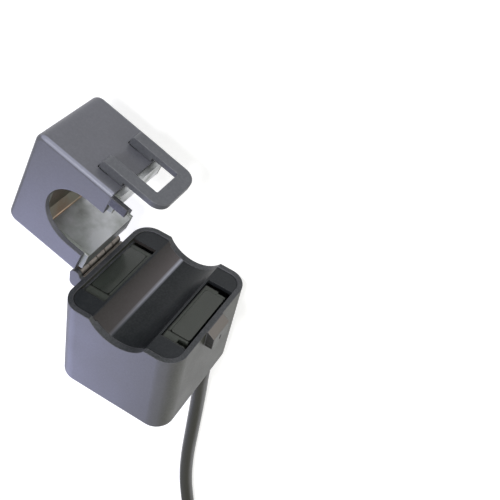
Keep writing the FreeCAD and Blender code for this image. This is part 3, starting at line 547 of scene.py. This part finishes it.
def coilPoint(wound):
    # outer low, inner low, inner high, outer high: each change ends before the one below begins
    sizes = cableSizes
    inside, raised, outside = (easing((wound - start) / sizes["change"]) for start in sizes["changes"])
    radius = sizes["outer"] + (sizes["inner"] - sizes["outer"]) * (inside - outside)
    level = sizes["low"] + (sizes["high"] - sizes["low"]) * raised
    x, y = sizes["heart"]
    turn = math.radians(sizes["enter"] - wound)
    return x + radius * math.cos(turn), y + radius * math.sin(turn), level


def along(distance, sideways, level):
    # the tail's own directions, from where it leaves the coil
    turn = math.radians(tailSizes["angle"])
    ahead = Vector((math.sin(turn), -math.cos(turn)))
    aside = Vector((-ahead.y, ahead.x))
    off = Vector(cableSizes["heart"]) + Vector((math.cos(turn), math.sin(turn))) * tailSizes["reach"]
    spot = off + ahead * distance + aside * sideways
    return spot.x, spot.y, level


def drawLine(name, points, across, finish):
    data = bpy.data.curves.new(name, "CURVE")
    data.dimensions = "3D"
    data.bevel_depth = across * millimetre / 2
    data.bevel_resolution = 6
    data.use_fill_caps = True
    data.resolution_u = 6
    line = data.splines.new("NURBS")
    line.points.add(len(points) - 1)
    for knot, point in zip(line.points, points):
        knot.co = tuple(placed(*point)) + (1.0,)
    line.order_u = 3
    line.use_endpoint_u = True
    data.materials.append(finish)
    piece = bpy.data.objects.new(name, data)
    scene.collection.objects.link(piece)
    return piece


lastTurn = int(cableSizes["turns"] * 360) - cableSizes["spare"]
turns = [coilPoint(wound) for wound in range(cableSizes["spare"], lastTurn, cableSizes["step"])]
tail = [along(*spot) for spot in tailSizes["run"]]
route = cableSizes["run"] + turns + tail
cable = drawLine("outputCable", route, cableSizes["across"], finishes["cableJacket"])
coreEnds = []
for side, label in ((1, "Black"), (-1, "White")):
    run = [along(distance, side * sideways, level) for distance, sideways, level in tailSizes["cores"]]
    coreEnds.append(drawLine("coreEnd" + label, run, tailSizes["lead"], finishes["core" + label]))
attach(cable, "base")
for piece in coreEnds:
    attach(piece, "base")
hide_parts("output_cable", "cable_coil", "cable_tail")
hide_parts("lead_end_black")
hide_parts("lead_end_white")
print("cable ready")


# helpers for modelled pieces
squareOn = 0.9  # a face whose normal has this much of a direction looks that way


def pickFaces(mesh, test):
    # selects the faces that pass the test, in edit mode
    shape = bmesh.from_edit_mesh(mesh)
    for face in shape.faces:
        face.select_set(test(face))
    shape.select_flush_mode()
    bmesh.update_edit_mesh(mesh)


def cutFaces(piece, test, kind):
    bpy.ops.object.mode_set(mode="EDIT")
    bpy.ops.mesh.select_mode(type="FACE")
    pickFaces(piece.data, test)
    bpy.ops.mesh.delete(type=kind)
    bpy.ops.object.mode_set(mode="OBJECT")


def thicken(piece, thick, offset):
    wall = piece.modifiers.new("wall", "SOLIDIFY")
    wall.thickness = thick * millimetre
    wall.offset = offset


def roundEdges(piece, name, width, segments):
    edge = piece.modifiers.new(name, "BEVEL")
    edge.width = width * millimetre
    edge.segments = segments
    edge.limit_method = "ANGLE"


def applyModifiers(piece):
    for label in [modifier.name for modifier in piece.modifiers]:
        bpy.ops.object.modifier_apply(modifier=label)


# a sheet of hinge metal under the barrel, put in as painted shade: it closes the slot at the rim, which on
# the hinge is only a gap in shade
shadeSheetSizes = {"radius": 2.15, "sides": 72, "thick": 0.25, "low": 13.6, "high": 34.9, "fromAngle": -97,
            "toAngle": 2, "edge": 0.06, "smoothAngle": 30}


def makeShadeSheet():
    sizes = shadeSheetSizes
    bpy.ops.object.select_all(action="DESELECT")
    bpy.ops.mesh.primitive_cylinder_add(vertices=sizes["sides"], radius=sizes["radius"] * millimetre,
                                        depth=(sizes["high"] - sizes["low"]) * millimetre,
                                        location=placed(*hingeAxis, (sizes["low"] + sizes["high"]) / 2))
    shadeSheet = bpy.context.object
    shadeSheet.name = "hingeShadeSheet"
    bpy.ops.object.transform_apply(location=True, rotation=False, scale=False)

    def outside(face):
        angle = math.degrees(math.atan2(face.normal.y, face.normal.x))
        return abs(face.normal.z) > squareOn or not sizes["fromAngle"] < angle < sizes["toAngle"]
    cutFaces(shadeSheet, outside, "FACE")
    thicken(shadeSheet, sizes["thick"], offset=1)
    roundEdges(shadeSheet, "edge", sizes["edge"], segments=2)
    applyModifiers(shadeSheet)
    bpy.ops.object.shade_smooth_by_angle(angle=math.radians(sizes["smoothAngle"]))
    shadeSheet.data.materials.append(finishes["hingeMetal"])
    return shadeSheet


shadeSheet = makeShadeSheet()
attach(shadeSheet, "base")
print("hinge web ready")


# tie round the coil: one closed strap
tieSizes = {"angle": -40, "low": 27.05, "high": 39.85, "floor": 0.05, "top": 13.85, "wide": 4.0,
            "thick": 0.6, "corner": 2.2, "edge": 0.15}


def makeTie():
    sizes = tieSizes
    middle = placed((sizes["low"] + sizes["high"]) / 2, 0, (sizes["floor"] + sizes["top"]) / 2)
    bpy.ops.object.select_all(action="DESELECT")
    bpy.ops.mesh.primitive_cube_add(size=1, location=middle)
    strap = bpy.context.object
    strap.name = "coilTie"
    strap.scale = placed(sizes["high"] - sizes["low"], sizes["wide"], sizes["top"] - sizes["floor"])
    bpy.ops.object.transform_apply(location=True, rotation=False, scale=True)
    cutFaces(strap, lambda face: abs(face.normal.y) > squareOn, "ONLY_FACE")
    roundEdges(strap, "corners", sizes["corner"], segments=6)
    thicken(strap, sizes["thick"], offset=-1)
    roundEdges(strap, "edge", sizes["edge"], segments=2)
    applyModifiers(strap)
    turn = Matrix.Rotation(math.radians(sizes["angle"]), 4, "Z")
    strap.data.transform(Matrix.Translation(placed(*cableSizes["heart"], 0)) @ turn)
    strap.data.materials.append(finishes["tieNylon"])
    return strap


tie = makeTie()
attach(tie, "base")
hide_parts("cable_tie")
print("tie ready")
